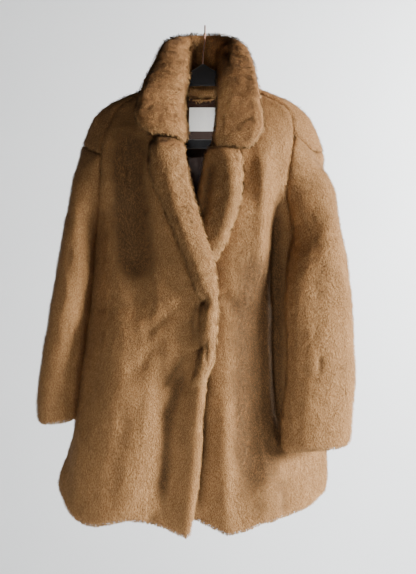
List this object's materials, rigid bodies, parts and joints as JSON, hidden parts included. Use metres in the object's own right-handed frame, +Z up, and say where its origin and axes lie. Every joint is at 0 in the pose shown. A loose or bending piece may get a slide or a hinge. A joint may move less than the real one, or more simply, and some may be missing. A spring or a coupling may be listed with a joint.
{
  "type": "faux fur coat on a hanger",
  "caption": "Knee-length plush faux fur coat with a big turned-down collar and rolled lapels, lapped and closed, hanging on a slim hanger with a wire hook.",
  "frame": {"origin": "inside top of the hanger's hook, where it rests on what it hangs by", "axes": "+Z up, the front of the coat faces -Y, +X to the wearer's left, which is the viewer's right"},
  "size_m": [0.6238, 0.239, 0.9907],
  "materials": {
    "fur": "dense camel plush pile, matt",
    "lining": "brown satin",
    "label": "blank woven label, matt",
    "hanger_flock": "black flocked plastic",
    "hook_wire": "rose-gold coloured polished wire"
  },
  "bodies": {
    "root": {"front_right": "fur", "front_left": "fur", "back": "fur", "sleeve_right": "fur", "sleeve_left": "fur", "collar": "fur", "lapel_right": "fur", "lapel_left": "fur", "back_lining": "lining", "label": "label", "hanger": "hanger_flock", "hanger_hook": "hook_wire"}
  },
  "joints": []
}
